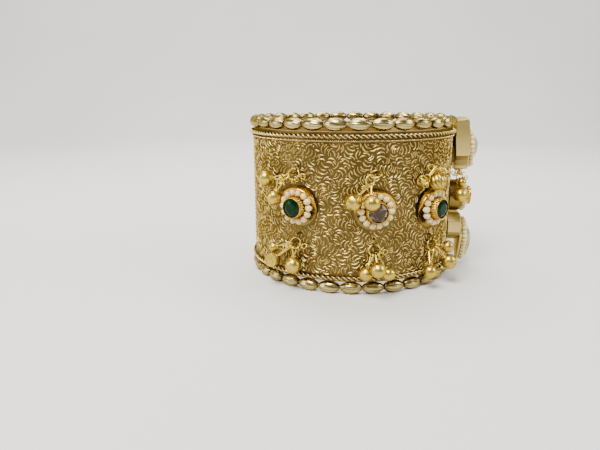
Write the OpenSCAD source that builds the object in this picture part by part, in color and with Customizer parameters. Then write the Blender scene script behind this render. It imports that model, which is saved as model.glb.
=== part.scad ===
// Wide brass cuff bracelet with beaded rims, pearl flowers, bell charms and two box settings
// The cuff's axis is Z, the middle of its height is z = 0, and the box settings face +X

/* [Band] */
// radius of the wrist opening in mm
bore_r = 28.8; // [27:0.1:34]
// thickness of the band's wall
band_wall = 2.3; // [2:0.1:2.4]
// height of the sheet band, edge to edge
band_height = 41.4; // [38:0.2:41.4]

/* [Edge wires] */
// radius of the twisted wires along both edges
rope_r = 0.5; // [0.3:0.05:0.6]
// height of the twisted wires above and below the middle
rope_z = 19.6; // [19.2:0.1:20]
// radius of the fine wire under the top twisted wire
fine_r = 0.25; // [0.15:0.05:0.35]
// height of the fine wire
fine_z = 18.35; // [18:0.05:18.5]
// radius of the two upright twisted wires that cover the seams
seam_r = 0.45; // [0.3:0.05:0.5]

/* [Rim beads] */
// beads that fit round one rim
bead_count = 31; // [29:1:31]
// length of a rim bead
bead_length = 5.9; // [4.5:0.1:5.9]
// largest radius of a rim bead
bead_r = 1.75; // [1.2:0.05:1.75]
// radius at the two ends of a rim bead
bead_end_r = 0.75; // [0.7:0.05:0.9]
// radius of the hole through a rim bead
bead_hole_r = 0.55; // [0.5:0.05:0.6]
// height of the bead rows above and below the middle
bead_z = 22.6; // [22.6:0.1:24]
// turn of the top row in degrees
top_turn = 6.6; // [6:0.1:7]
// turn of the bottom row in degrees
bottom_turn = 4.3; // [0:0.1:11]

/* [Pearl flowers] */
// radius of the round backing plate of a flower
plate_r = 5.8; // [5.2:0.1:5.9]
// radius of the ring on which the pearls are strung
pearl_ring_r = 4.1; // [4.1:0.05:4.2]
// pearls in one ring
pearl_count = 14; // [12:1:14]
// radius of a pearl
pearl_r = 0.92; // [0.7:0.01:0.92]
// half of a pearl's length along its thread
pearl_half = 0.765; // [0.6:0.005:0.765]
// radius of the round stones
stone_r = 2.6; // [2:0.05:2.6]

/* [Charms] */
// radius of a jump ring, to the middle of its wire
ring_r = 1.6; // [1.5:0.05:1.65]
// radius of the eye on a charm, to the middle of its wire
eye_r = 0.85; // [0.8:0.05:0.9]
// radius of the wire of the jump rings and eyes
link_wire = 0.2; // [0.15:0.01:0.22]

/* [Box settings] */
// depth of the two boxes, outwards
box_depth = 4.3; // [3:0.1:5]
// lean of the upper box in degrees
lean = 5.4; // [4:0.2:6]

/* [Hidden] */
$fn = 48;
band_r = bore_r + band_wall;
rim_r = bore_r + bead_r;
gap = 0.15;

// Flowers, one row each: angle round the cuff, height, lift above the band
FLOWERS = [
  [-117, 0.2, 0],
  [-77.6, -0.1, 0],
  [-43, -0.9, 0],
  [0, -1.2, 3],
  [43, -0.9, 0],
  [77.6, -0.1, 0],
  [117, 0.2, 0]
];

// Eyelets on the band, one row each: angle, height
EYELETS = [
  [-117, 10.3], [-77.6, 11.2], [-43, 10.4],
  [-117, -8.8], [-77.6, -9.2], [-43, -10],
  [43, 10.4], [77.6, 11.2], [117, 10.3],
  [43, -10], [77.6, -9.2], [117, -8.8]
];

// Jump rings, one row each: group, out from the band, round, height, tilt, swing
RINGS = [
  [0, 1.4, -0.9, 9.2, 111, -174],
  [0, 1.7, -3.3, 8.3, 30, -38],
  [1, 1.9, -0.5, 10, 151, 143],
  [1, 2.9, -2.2, 8.4, 92, -148],
  [2, 2, -0.8, 10.4, 162, -130],
  [3, 1, -0.7, -10.5, 109, -177],
  [4, 0.8, 0.1, -11.3, 105, 179],
  [5, 1.2, 0.3, -11.9, 105, 165],
  [6, 3.3, -2.4, 4.9, 115, 132]
];

// Charms, one row each: group, out, round, height of the ball, tilt, swing, spin of the eye,
// distance from the ball to the eye, ball radius, shape (0 round, 1 faceted, 2 flat ended)
CHARMS = [
  [0, 1.6, -10.3, 7.4, 85, 91, -51, 5.2, 2.3, 0],
  [0, 2.3, -7, 2.3, 26, 90, -62, 5.5, 2.25, 0],
  [1, 2.8, -6.6, 2.8, 39, 79, -165, 5.4, 2.25, 1],
  [1, 6.9, -2.6, 3.2, 46, 178, 115, 5, 2.25, 0],
  [2, 3.1, -1.8, 7, 30, -177, -45, 4.2, 2.3, 0],
  [2, 2.1, -6.7, 7.4, 54, 83, 120, 5.2, 2.1, 0],
  [3, 3.3, -7.2, -16, 51, 109, 157, 6.9, 1.85, 2],
  [3, 2.8, -0.4, -16.5, 15, -166, 69, 4.5, 2.5, 0],
  [3, 1.4, -8.1, -12.8, 70, 92, 156, 6, 1.5, 0],
  [4, 2.3, -2.5, -17.5, 24, 122, 151, 5.1, 2.15, 0],
  [4, 5.5, 0, -15.5, 58, 176, 80, 4.8, 2.25, 0],
  [4, 2.3, 3.9, -17.8, 30, -111, 17, 5.8, 2, 0],
  [5, 3.2, -2.9, -18.9, 30, 123, 139, 6.1, 2.1, 0],
  [5, 4.2, 5, -17.3, 45, -124, 31, 5.9, 2.35, 0],
  [5, 3.6, 4.8, -12.9, 77, -123, 9, 3.4, 1.9, 0],
  [6, 2.6, -8.3, 0.2, 55, 86, 156, 5.8, 2.3, 0],
  [6, 3, -6.8, 3.9, 82, 101, 147, 3, 1.5, 0]
];

// Angle of each group of charms
GROUP_ANGLES = [-117, -77.6, -43, -117, -77.6, -43, 0];

// Place children at an angle round the cuff, so that local X points outwards
module at(angle, out = 0, z = 0) {
  rotate([0, 0, angle]) translate([out, 0, z]) children();
}

// A closed wire ring round the local Z axis
module wire_ring(radius, wire) {
  rotate_extrude() translate([radius, 0]) circle(r = wire);
}

// Plain sheet band with the eyelets that hold the charms soldered on
module band() {
  color("#9c7a45")
  union() {
    difference() {
      translate([0, 0, -band_height / 2]) cylinder(r = band_r, h = band_height);
      translate([0, 0, -band_height / 2 - 1]) cylinder(r = bore_r, h = band_height + 2);
    }
    for (e = EYELETS)
      at(e[0], band_r + 0.35, e[1]) rotate([90, 0, 0]) wire_ring(1.15, 0.25);
  }
}

// Twisted wires, plain round here
module rope(z) {
  color("#b08a4c")
  translate([0, 0, z]) wire_ring(band_r + 0.1 + rope_r, rope_r);
}

module fine_wire() {
  color("#b08a4c")
  translate([0, 0, fine_z]) wire_ring(band_r + 0.1 + fine_r, fine_r);
}

module seam_rope(angle) {
  low = -rope_z + rope_r + 0.15;
  high = fine_z - fine_r - 0.15;
  color("#b08a4c")
  at(angle, band_r + 0.1 + seam_r, low) cylinder(r = seam_r, h = high - low);
}

// A rim bead is a drilled olive, turned from one arc, lying along local Y
module olive() {
  half = bead_length / 2;
  sag = bead_r - bead_end_r;
  arc = (half * half + sag * sag) / (2 * sag);
  rotate([90, 0, 0])
  rotate_extrude()
  intersection() {
    translate([bead_r - arc, 0]) circle(r = arc);
    translate([bead_hole_r, -half]) square([bead_r, 2 * half]);
  }
}

// Angle from -180 to 180
function wrap(a) = a - 360 * floor((a + 180) / 360);

// One row of rim beads, which leaves out the beads where a box covers the rim
module bead_row(z, turn, skip) {
  color("#8f8448")
  for (i = [0 : bead_count - 1])
    if (abs(wrap(turn + i * 360 / bead_count)) >= skip)
      at(turn + i * 360 / bead_count, rim_r, z) olive();
}

module bead_wire(z) {
  color("#b39a50")
  translate([0, 0, z]) wire_ring(rim_r + 0.07, 0.3);
}

// Fluted cup round a flower's stone, along local Z
module cup(base, top) {
  ribs = 24;
  translate([0, 0, base])
  difference() {
    linear_extrude(top - base)
    polygon([for (i = [0 : 2 * ribs - 1]) let (r = (i % 2 == 0) ? 3.05 : 2.9, a = i * 180 / ribs)
      [r * cos(a), r * sin(a)]]);
    translate([0, 0, top - base - 1.75]) cylinder(r = stone_r + 0.1, h = 2);
  }
}

// Backing plate bent to the band, or a round box where the flower stands higher, with its cup
module flower_setting(i) {
  f = FLOWERS[i];
  color("#c9a24e")
  at(f[0], 0, 0)
  union() {
    if (f[2] == 0)
      intersection() {
        difference() {
          translate([0, 0, f[1] - 8]) cylinder(r = band_r + 0.65, h = 16);
          translate([0, 0, f[1] - 9]) cylinder(r = band_r + gap, h = 18);
        }
        translate([20, 0, f[1]]) rotate([0, 90, 0]) cylinder(r = plate_r, h = 20);
      }
    else
      difference() {
        translate([28, 0, f[1]]) rotate([0, 90, 0]) cylinder(r = 5, h = band_r + 0.65 + f[2] - 28);
        seam_slot();
      }
    translate([0, 0, f[1]]) rotate([0, 90, 0]) cup(band_r + 0.4 + f[2], band_r + 4.15 + f[2]);
  }
}

// Room for the band, the upright wire and the edge wires behind a front setting
module seam_slot() {
  translate([0, 0, -25]) cylinder(r = band_r + gap, h = 50);
  translate([0, 0, fine_z - fine_r - 0.3]) cylinder(r = band_r + 0.1 + 2 * rope_r + gap, h = 8);
  translate([band_r + 0.1 + seam_r, 0, -25]) cylinder(r = seam_r + 0.2, h = 50);
}

// Pearl with a hole along local Y
module pearl() {
  rotate([90, 0, 0])
  rotate_extrude()
  intersection() {
    circle(r = pearl_r);
    translate([0.33, -pearl_half]) square([1, 2 * pearl_half]);
  }
}

module flower_pearls(i) {
  f = FLOWERS[i];
  color("#efe6da")
  at(f[0], band_r + 1.7 + f[2], f[1])
  rotate([0, 90, 0])
  for (k = [0 : pearl_count - 1])
    rotate([0, 0, (k + 0.5) * 360 / pearl_count]) translate([pearl_ring_r, 0, 0]) pearl();
}

module pearl_threads() {
  color("#d8c07a")
  for (f = FLOWERS)
    at(f[0], band_r + 1.7 + f[2], f[1]) rotate([0, 90, 0]) wire_ring(pearl_ring_r, 0.13);
}

// Faceted round stone with a table, along local Z with its girdle at zero
module cut_stone(r, crown, pavilion) {
  star = [for (k = [0 : 7]) [0.58 * r * cos(45 * k), 0.58 * r * sin(45 * k), crown]];
  mid = [for (k = [0 : 7]) [0.84 * r * cos(45 * k + 22.5), 0.84 * r * sin(45 * k + 22.5), 0.55 * crown]];
  girdle = [for (k = [0 : 15]) [r * cos(22.5 * k), r * sin(22.5 * k), 0.08]];
  under = [for (k = [0 : 15]) [r * cos(22.5 * k), r * sin(22.5 * k), -0.08]];
  points = concat(star, mid, girdle, under, [[0, 0, -pavilion]]);
  faces = concat(
    [[7, 6, 5, 4, 3, 2, 1, 0]],
    [for (k = [0 : 7]) let (n = (k + 1) % 8) [k, n, 8 + k]],
    [for (k = [0 : 7]) [k, 8 + k, 16 + 2 * k]],
    [for (k = [0 : 7]) let (p = (k + 7) % 8) [k, 16 + 2 * k, 8 + p]],
    [for (k = [0 : 7]) [8 + k, 17 + 2 * k, 16 + 2 * k]],
    [for (k = [0 : 7]) [8 + k, 16 + (2 * k + 2) % 16, 17 + 2 * k]],
    [for (k = [0 : 15]) let (n = (k + 1) % 16) [16 + k, 16 + n, 32 + n]],
    [for (k = [0 : 15]) let (n = (k + 1) % 16) [16 + k, 32 + n, 32 + k]],
    [for (k = [0 : 15]) let (n = (k + 1) % 16) [32 + k, 32 + n, 48]]
  );
  polyhedron(points = points, faces = faces, convexity = 2);
}

module flower_stone(i, shade) {
  f = FLOWERS[i];
  color(shade)
  at(f[0], band_r + 3.75 + f[2], f[1]) rotate([0, 90, 0]) cut_stone(stone_r, 0.7, 1.1);
}

// Hollow bell charm: ball at the origin, its stalk and eye up local Z
module charm(row) {
  r = row[8];
  union() {
    if (row[9] == 0) {
      sphere(r = r - 0.1);
      translate([0, 0, -0.13]) cylinder(r = r, h = 0.26);
    }
    if (row[9] == 1)
      rotate_extrude($fn = 8)
      polygon([[0, -r], [0.35 * r, -0.92 * r], [0.83 * r, -0.5 * r], [0.97 * r, -0.14 * r],
        [0.97 * r, 0.14 * r], [0.83 * r, 0.5 * r], [0.35 * r, 0.92 * r], [0, r]]);
    if (row[9] == 2)
      rotate([0, 0, 75]) rotate([0, 90, 0])
      rotate_extrude()
      polygon([[0, -1.4], [1.7, -1.4], [1.9, -1.2], [1.9, 1.2], [1.7, 1.4], [0, 1.4]]);
    translate([0, 0, 0.5 * r]) cylinder(r = 0.3, h = row[7] - eye_r - 0.5 * r);
    translate([0, 0, row[7]]) rotate([0, 0, row[6]]) rotate([0, 90, 0]) wire_ring(eye_r, link_wire);
  }
}

// One group of charms with its jump rings, at most the given number of charms
module charm_group(g, most = 9) {
  own = [for (row = CHARMS) if (row[0] == g) row];
  color("#d9b23f")
  at(GROUP_ANGLES[g], 0, 0) {
    for (row = RINGS)
      if (row[0] == g)
        translate([band_r + row[1], row[2], row[3]]) rotate([0, row[4], row[5]]) wire_ring(ring_r, link_wire);
    for (k = [0 : min(most, len(own)) - 1])
      translate([band_r + own[k][1], own[k][2], own[k][3]]) rotate([0, own[k][4], own[k][5]]) charm(own[k]);
  }
}

// The far side repeats the near side's groups the other way round, with two charms each
module far_group(g) {
  mirror([0, 1, 0]) charm_group(g, 2);
}

// Outline of a drop: a large arc and a small arc joined by their tangents, grown by d
function pear(big, high, small, low, d, steps) =
  let (t = asin((big - small) / (high - low)), n = steps / 2)
  concat(
    [for (k = [0 : n]) let (a = -t + k * (180 + 2 * t) / n) [(big + d) * cos(a), high + (big + d) * sin(a)]],
    [for (k = [0 : n - 2]) let (a = 180 + t + k * (180 - 2 * t) / (n - 2))
      [(small + d) * cos(a), low + (small + d) * sin(a)]]
  );

// Lays a flat shape in the Y Z plane and gives it thickness along local X
module outwards(h) {
  rotate([90, 0, 90]) linear_extrude(h) children();
}

// A closed tube along a flat outline, with its outline grown and lifted round the section
module outline_tube(big, high, small, low, steps, wire, sides) {
  rings = [for (s = [0 : sides - 1]) pear(big, high, small, low, wire * cos(s * 360 / sides), steps)];
  n = len(rings[0]);
  points = [for (s = [0 : sides - 1]) for (p = rings[s]) [wire * sin(s * 360 / sides), p[0], p[1]]];
  faces = [for (s = [0 : sides - 1]) for (k = [0 : n - 1])
    let (s2 = (s + 1) % sides, k2 = (k + 1) % n) each [
      [s * n + k, s2 * n + k, s2 * n + k2],
      [s * n + k, s2 * n + k2, s * n + k2]
    ]];
  polyhedron(points = points, faces = faces, convexity = 6);
}

// Domed drop-shaped stone with a table. Each row of LEVELS is height and share of the outline
module drop_stone(big, high, small, low, steps, height) {
  LEVELS = [[0, 0.9], [0.12, 1], [0.45, 0.9], [0.78, 0.66], [1, 0.36]];
  base = pear(big, high, small, low, 0, steps);
  n = len(base);
  mid = high - big * 0.35;
  points = concat(
    [for (l = LEVELS) for (p = base) [height * l[0], p[0] * l[1], mid + (p[1] - mid) * l[1]]]
  );
  m = len(LEVELS);
  faces = concat(
    [[for (k = [0 : n - 1]) n - 1 - k]],
    [[for (k = [0 : n - 1]) (m - 1) * n + k]],
    [for (l = [0 : m - 2]) for (k = [0 : n - 1])
      let (k2 = (k + 1) % n) each [
        [l * n + k, l * n + k2, (l + 1) * n + k2],
        [l * n + k, (l + 1) * n + k2, (l + 1) * n + k]
      ]]
  );
  polyhedron(points = points, faces = faces, convexity = 2);
}

// Frame of the upper box: local X out of its back plane, leaning outwards at its foot
module upper_frame() {
  translate([band_r + 0.75, 0, 15.1]) rotate([0, -lean, 0]) children();
}

// Drop on the upper box: big radius, its height, small radius, its height
U = [3, 0.2, 0.4, -5.2];
// Drop on the lower box
L = [3, -13.5, 0.35, -20.5];
lower_x = band_r + 4.8;

module upper_box() {
  color("#cdb076")
  union() {
    difference() {
      union() {
        upper_frame() {
          outwards(box_depth - 0.4)
          polygon([[-6, -3.1], [-2.3, -7.95], [2.3, -7.95], [6, -3.1], [6, 7.4], [5.5, 7.95], [-5.5, 7.95], [-6, 7.4]]);
          translate([box_depth - 0.5, 0, 0]) outwards(0.5)
          polygon([[-5.6, -2.9], [-2.1, -7.55], [2.1, -7.55], [5.6, -2.9], [5.6, 7.1], [5.2, 7.55], [-5.2, 7.55], [-5.6, 7.1]]);
        }
        translate([28, -2.5, 9.5]) cube([6, 5, 5]);
      }
      seam_slot();
    }
    upper_frame() translate([box_depth - 0.2, 0, 0]) difference() {
      outwards(1.7) polygon(pear(U[0], U[1], U[2], U[3], 0.42, 32));
      translate([0.4, 0, 0]) outwards(2) polygon(pear(U[0], U[1], U[2], U[3], 0.12, 32));
    }
    translate([band_r + 3.2, -1.4, 6.75]) rotate([0, 90, 0]) wire_ring(1.15, 0.25);
  }
}

module upper_box_stone() {
  color("#c7d0b4")
  upper_frame() translate([box_depth + 0.35, 0, 0]) drop_stone(U[0], U[1], U[2], U[3], 24, 2.9);
}

module upper_box_pearls() {
  color("#efe6da")
  upper_frame() translate([box_depth + 0.87, 0, 0]) outline_tube(U[0] + 1.3, U[1], U[2] + 1.3, U[3], 32, 0.75, 8);
}

module lower_box() {
  color("#cdb076")
  union() {
    difference() {
      translate([band_r + 0.1, 0, -11])
      outwards(4.05)
      polygon([[-5, -2.1], [-2.9, -4.2], [2.9, -4.2], [5, -2.1], [5, 2.1], [2.9, 4.2], [-2.9, 4.2], [-5, 2.1]]);
      seam_slot();
    }
    translate([band_r + 4.05, 0, 0]) outwards(0.75) polygon(pear(L[0], L[1], L[2], L[3], 1.7, 32));
    difference() {
      translate([lower_x - 0.1, 0, 0]) outwards(6) polygon(pear(L[0], L[1], L[2], L[3], 0.42, 32));
      lower_tilt() translate([1, -10, -20]) cube([20, 20, 40]);
      lower_tilt() translate([0.3, 0, 0]) outwards(3) polygon(pear(L[0], 0, L[2], L[3] - L[1], 0.12, 32));
    }
  }
}

// Frame of the lower stone: its foot stands further out than its top
module lower_tilt() {
  translate([lower_x + 0.55, 0, L[1]]) rotate([0, -9, 0]) children();
}

module lower_box_stone() {
  color("#cfcf8a")
  lower_tilt() translate([0.42, 0, 0]) drop_stone(L[0], 0, L[2], L[3] - L[1], 24, 2.3);
}

module lower_box_pearls() {
  color("#efe6da")
  translate([lower_x + 0.87, 0, 0]) outline_tube(L[0] + 1.3, L[1], L[2] + 1.3, L[3], 32, 0.75, 8);
}

band();
rope(rope_z);  // top_rope
rope(-rope_z);  // bottom_rope
fine_wire();  // top_fine_wire
seam_rope(0);  // front_seam_rope
seam_rope(180);  // back_seam_rope
bead_row(bead_z, top_turn, 15);  // top_beads
bead_row(-bead_z, bottom_turn, 0);  // bottom_beads
bead_wire(bead_z);  // top_bead_wire
bead_wire(-bead_z);  // bottom_bead_wire
pearl_threads();
for (i = [0 : 6]) flower_setting(i);
for (i = [0 : 6]) flower_stone(i, (i == 1 || i == 5) ? "#e6dde0" : "#0f5a38");
for (i = [0 : 6]) flower_pearls(i);
upper_box();
upper_box_stone();
upper_box_pearls();
lower_box();
lower_box_stone();
lower_box_pearls();
for (i = [0 : 2]) charm_group(i);
for (i = [0 : 2]) charm_group(i + 3);
for (i = [0 : 2]) far_group(i);
for (i = [0 : 2]) far_group(i + 3);
charm_group(6);  // charms_front
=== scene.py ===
import math
import random
import bpy
from mathutils import Matrix, Vector


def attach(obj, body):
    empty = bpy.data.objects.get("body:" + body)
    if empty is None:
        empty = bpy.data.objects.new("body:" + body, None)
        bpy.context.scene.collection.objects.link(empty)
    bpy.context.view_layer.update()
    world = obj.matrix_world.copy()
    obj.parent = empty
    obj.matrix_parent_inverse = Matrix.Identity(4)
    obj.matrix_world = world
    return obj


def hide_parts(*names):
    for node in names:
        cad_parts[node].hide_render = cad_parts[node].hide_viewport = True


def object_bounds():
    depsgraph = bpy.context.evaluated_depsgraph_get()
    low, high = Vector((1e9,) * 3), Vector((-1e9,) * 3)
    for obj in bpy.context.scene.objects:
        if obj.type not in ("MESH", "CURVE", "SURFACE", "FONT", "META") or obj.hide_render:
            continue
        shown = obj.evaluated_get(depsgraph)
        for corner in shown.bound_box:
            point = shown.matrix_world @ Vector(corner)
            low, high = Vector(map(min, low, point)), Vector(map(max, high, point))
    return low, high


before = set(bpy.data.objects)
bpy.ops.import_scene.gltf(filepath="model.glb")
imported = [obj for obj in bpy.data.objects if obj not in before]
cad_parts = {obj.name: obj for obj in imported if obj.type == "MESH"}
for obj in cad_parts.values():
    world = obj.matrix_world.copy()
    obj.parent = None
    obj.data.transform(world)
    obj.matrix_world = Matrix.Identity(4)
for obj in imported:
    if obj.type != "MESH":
        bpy.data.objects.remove(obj)        # the cuff's solids, one object for each node

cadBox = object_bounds()
mm = 0.001
near = 0.01 * mm         # closer than this is the same place
full = 2 * math.pi

# Sizes of the cuff that several pieces share, in mm
cuff = {
    "band": 31.1,          # outer radius of the sheet
    "rope": 31.7,          # radius of the twisted edge wires, to their middle
    "ropeHeight": 19.6,
    "rim": 30.55,          # radius of the bead rows
    "rimHeight": 22.6,
    "boxLean": 5.4,        # degrees that the upper box leans
}


# Selecting, placing and joining

def letGo():
    if bpy.context.object and bpy.context.object.mode != "OBJECT":
        bpy.ops.object.mode_set(mode="OBJECT")
    bpy.ops.object.select_all(action="DESELECT")


def hold(*pieces):
    letGo()
    for piece in pieces:
        piece.select_set(True)
    bpy.context.view_layer.objects.active = pieces[0]


def edit(piece, kind="VERT"):
    hold(piece)
    bpy.ops.object.mode_set(mode="EDIT")
    bpy.ops.mesh.select_mode(type=kind)
    bpy.ops.mesh.select_all(action="SELECT")


def pick(piece, kind, test):
    # selects the faces or vertices that pass the test, and stays in edit mode
    edit(piece, kind)
    bpy.ops.mesh.select_all(action="DESELECT")
    bpy.ops.object.mode_set(mode="OBJECT")
    for part in (piece.data.polygons if kind == "FACE" else piece.data.vertices):
        part.select = test(part)
    bpy.ops.object.mode_set(mode="EDIT")


def done():
    bpy.ops.object.mode_set(mode="OBJECT")
    return bpy.context.object


def mend(piece):
    # closes seams and turns every face outwards
    edit(piece)
    bpy.ops.mesh.remove_doubles(threshold=0.002 * mm)
    bpy.ops.mesh.normals_make_consistent(inside=False)
    return done()


def settle(piece):
    # applies the modifiers and the place, so that the piece sits at the origin
    hold(piece)
    for step in list(piece.modifiers):
        bpy.ops.object.modifier_apply(modifier=step.name)
    bpy.ops.object.transform_apply(location=True, rotation=True, scale=True)
    return piece


def throwAway(*pieces):
    for piece in pieces:
        bpy.data.objects.remove(piece)


def copyAt(shape, place):
    twin = shape.copy()
    twin.data = shape.data.copy()
    bpy.context.collection.objects.link(twin)
    twin.matrix_world = place
    return twin


def gather(name, twins):
    hold(*twins)
    if len(twins) > 1:
        bpy.ops.object.join()
    piece = bpy.context.object
    piece.name = piece.data.name = name
    return settle(piece)


def smooth(piece, angle=40):
    hold(piece)
    bpy.ops.object.shade_smooth_by_angle(angle=math.radians(angle))
    return piece


def mark(piece, name, test):
    # writes 1 on the vertices that pass: the crease mark gets painted shade, the rubbing mark is brightened
    # as wear and, on box edges, as a painted highlight
    marks = piece.data.attributes.new(name, "FLOAT", "POINT")
    for k, vertex in enumerate(piece.data.vertices):
        marks.data[k].value = 1.0 if test(vertex) else 0.0


def squeeze(piece, test, across, along=1):
    # resizes the vertices that pass the test, across Z and along it
    pick(piece, "VERT", test)
    bpy.ops.transform.resize(value=(across, across, along))
    done()


def offRib(vertex, count):
    # how far a vertex lies from the nearest of that many directions round Z, in steps between them
    turned = math.atan2(vertex.co.y, vertex.co.x) / (full / count)
    return abs(turned - round(turned))


def pull(x, y, z):
    # extrudes what is selected by a distance in mm
    bpy.ops.mesh.extrude_region_move(TRANSFORM_OT_translate={"value": (x * mm, y * mm, z * mm)})


def inset(width):
    bpy.ops.mesh.inset(thickness=width * mm)


def deform(piece, method, axis, angle):
    change = piece.modifiers.new("deform", "SIMPLE_DEFORM")
    change.deform_method = method
    change.deform_axis = axis
    change.angle = angle
    return settle(piece)


def softenEdges(piece, width, segments=2):
    soft = piece.modifiers.new("soft", "BEVEL")
    soft.width = width * mm
    soft.segments = segments
    soft.limit_method = "ANGLE"
    soft.angle_limit = math.radians(25)
    return settle(piece)


def finish(piece, material, slot, *nodes):
    piece.data.materials.clear()
    piece.data.materials.append(material)
    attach(piece, "root")
    if nodes:
        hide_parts(*nodes)


def move(x, y, z):
    return Matrix.Translation((x * mm, y * mm, z * mm))


def turn(degrees, axis):
    return Matrix.Rotation(math.radians(degrees), 4, axis)


def onCuff(angle, out, height):
    # local Z points out of the cuff, local X points down
    return turn(angle, "Z") @ move(out, 0, height) @ turn(90, "Y")


# Drawing lines, lathe work and wire

def drawLine(points, close=False):
    letGo()
    bpy.ops.mesh.primitive_plane_add(size=mm)
    bpy.ops.object.mode_set(mode="EDIT")
    bpy.ops.mesh.select_mode(type="VERT")
    bpy.ops.mesh.merge(type="CENTER")
    spots = [Vector(p) * mm for p in points]
    bpy.ops.transform.translate(value=spots[0])
    for start, end in zip(spots, spots[1:]):
        bpy.ops.mesh.extrude_region_move(TRANSFORM_OT_translate={"value": end - start})
    if close:
        bpy.ops.mesh.select_all(action="SELECT")
        bpy.ops.mesh.edge_face_add()
    return done()


def lathe(profile, steps):
    # profile: radius and height of each point, turned round Z
    shape = drawLine([(r, 0, z) for r, z in profile])
    edit(shape)
    bpy.ops.mesh.spin(steps=steps, angle=full, center=(0, 0, 0), axis=(0, 0, 1))
    done()
    return mend(shape)


def wireAlong(points, radius, resolution=2, close=True):
    # a round wire of that radius along a drawn line
    path = drawLine(points, close)
    if close:
        edit(path)
        bpy.ops.mesh.delete(type="ONLY_FACE")
        done()
    hold(path)
    bpy.ops.object.convert(target="CURVE")
    path.data.bevel_depth = radius * mm
    path.data.bevel_resolution = resolution
    path.data.use_fill_caps = not close
    bpy.ops.object.convert(target="MESH")
    return mend(bpy.context.object)


def torus(radius, wire, around, sides, **where):
    letGo()
    bpy.ops.mesh.primitive_torus_add(major_segments=around, minor_segments=sides, major_radius=radius * mm,
                                     minor_radius=wire * mm, **where)
    return bpy.context.object


def pear(big, high, small, low, grow=0, steps=40):
    # outline of a drop: a large arc and a small arc joined by their tangents
    tip = math.asin((big - small) / (high - low))
    half = steps // 2
    spots = []
    for k in range(half + 1):
        a = -tip + k * (math.pi + 2 * tip) / half
        spots.append(((big + grow) * math.cos(a), high + (big + grow) * math.sin(a)))
    for k in range(half - 1):
        a = math.pi + tip + k * (math.pi - 2 * tip) / (half - 2)
        spots.append(((small + grow) * math.cos(a), low + (small + grow) * math.sin(a)))
    return spots


def walk(spots, pitch):
    # evenly spaced places along a closed outline, about one pitch apart, each with its direction
    sides = [(Vector(a), Vector(b)) for a, b in zip(spots, spots[1:] + spots[:1])]
    length = sum((b - a).length for a, b in sides)
    count = round(length / pitch)
    places = []
    for k in range(count):
        left = k * length / count
        for a, b in sides:
            if left <= (b - a).length:
                way = (b - a).normalized()
                places.append((a + way * left, way))
                break
            left -= (b - a).length
    return places


# Materials: shared effects first

def effect(name, ins, outs):
    # an empty node group, with the sockets of what it is given and of its result
    group = bpy.data.node_groups.new(name, "ShaderNodeTree")
    for label, value in ins.items():
        kind = "NodeSocketColor" if isinstance(value, tuple) else "NodeSocketFloat"
        socket = group.interface.new_socket(name=label, in_out="INPUT", socket_type=kind)
        socket.default_value = value
    for label in outs:
        kind = "NodeSocketColor" if label == "Color" else "NodeSocketFloat"
        group.interface.new_socket(name=label, in_out="OUTPUT", socket_type=kind)
    return group, group.nodes.new("NodeGroupInput").outputs, group.nodes.new("NodeGroupOutput").inputs


def put(tree, kind, **values):
    # adds a node; values are its settings, or its inputs where the name starts with "in"
    node = tree.nodes.new(kind)
    for name, value in values.items():
        if name.startswith("in_"):
            key = name[3:]
            socket = node.inputs[int(key)] if key.isdigit() else node.inputs[key.replace("_", " ")]
            if isinstance(value, bpy.types.NodeSocket):
                tree.links.new(value, socket)
            else:
                socket.default_value = value
        else:
            setattr(node, name, value)
    return node


def calc(tree, operation, a, b=0.0, clamp=False):
    return put(tree, "ShaderNodeMath", operation=operation, use_clamp=clamp, in_0=a, in_1=b).outputs[0]


def blendColours(tree, amount, a, b):
    node = put(tree, "ShaderNodeMix", data_type="RGBA", in_0=amount, in_6=a, in_7=b)
    return node.outputs[2]


def blendValues(tree, amount, a, b):
    return put(tree, "ShaderNodeMix", data_type="FLOAT", in_0=amount, in_2=a, in_3=b).outputs[0]


def marked(tree, name):
    # the marks that were written on a piece's vertices when it was modelled
    return put(tree, "ShaderNodeAttribute", attribute_name=name).outputs["Fac"]


def spread(tree, value, low, high, outLow=0.0, outHigh=1.0):
    node = put(tree, "ShaderNodeMapRange", in_0=value, in_1=low, in_2=high, in_3=outLow, in_4=outHigh)
    return node.outputs[0]


def objectSpot(tree):
    return put(tree, "ShaderNodeTexCoord").outputs["Object"]


def noise(tree, scale, detail=2.0, **more):
    # clouds that stay with the piece
    more.setdefault("in_Vector", objectSpot(tree))
    return put(tree, "ShaderNodeTexNoise", in_Scale=scale, in_Detail=detail, **more).outputs[0]


def makeTarnish():
    # cloudy dark tarnish over a metal colour, with uneven polish and fine dents
    ins = {"Metal": (0.8, 0.6, 0.3, 1), "Tarnish": (0.3, 0.2, 0.1, 1), "Amount": 0.5, "Cloud": 300.0,
           "Grain": 2500.0, "Smoothest": 0.25, "Roughest": 0.45}
    group, given, result = effect("tarnish", ins, ["Color", "Roughness", "Height"])
    grain = noise(group, given["Grain"], 3.0)
    mask = spread(group, noise(group, given["Cloud"], 4.0), 0.38, 0.66)
    speck = spread(group, grain, 0.35, 0.7)
    both = calc(group, "ADD", calc(group, "MULTIPLY", mask, 0.75), calc(group, "MULTIPLY", speck, 0.25))
    both = calc(group, "MULTIPLY", both, given["Amount"], True)
    group.links.new(blendColours(group, both, given["Metal"], given["Tarnish"]), result["Color"])
    rough = spread(group, speck, 0.0, 1.0, given["Smoothest"], given["Roughest"])
    group.links.new(rough, result["Roughness"])
    group.links.new(grain, result["Height"])
    return group


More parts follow.
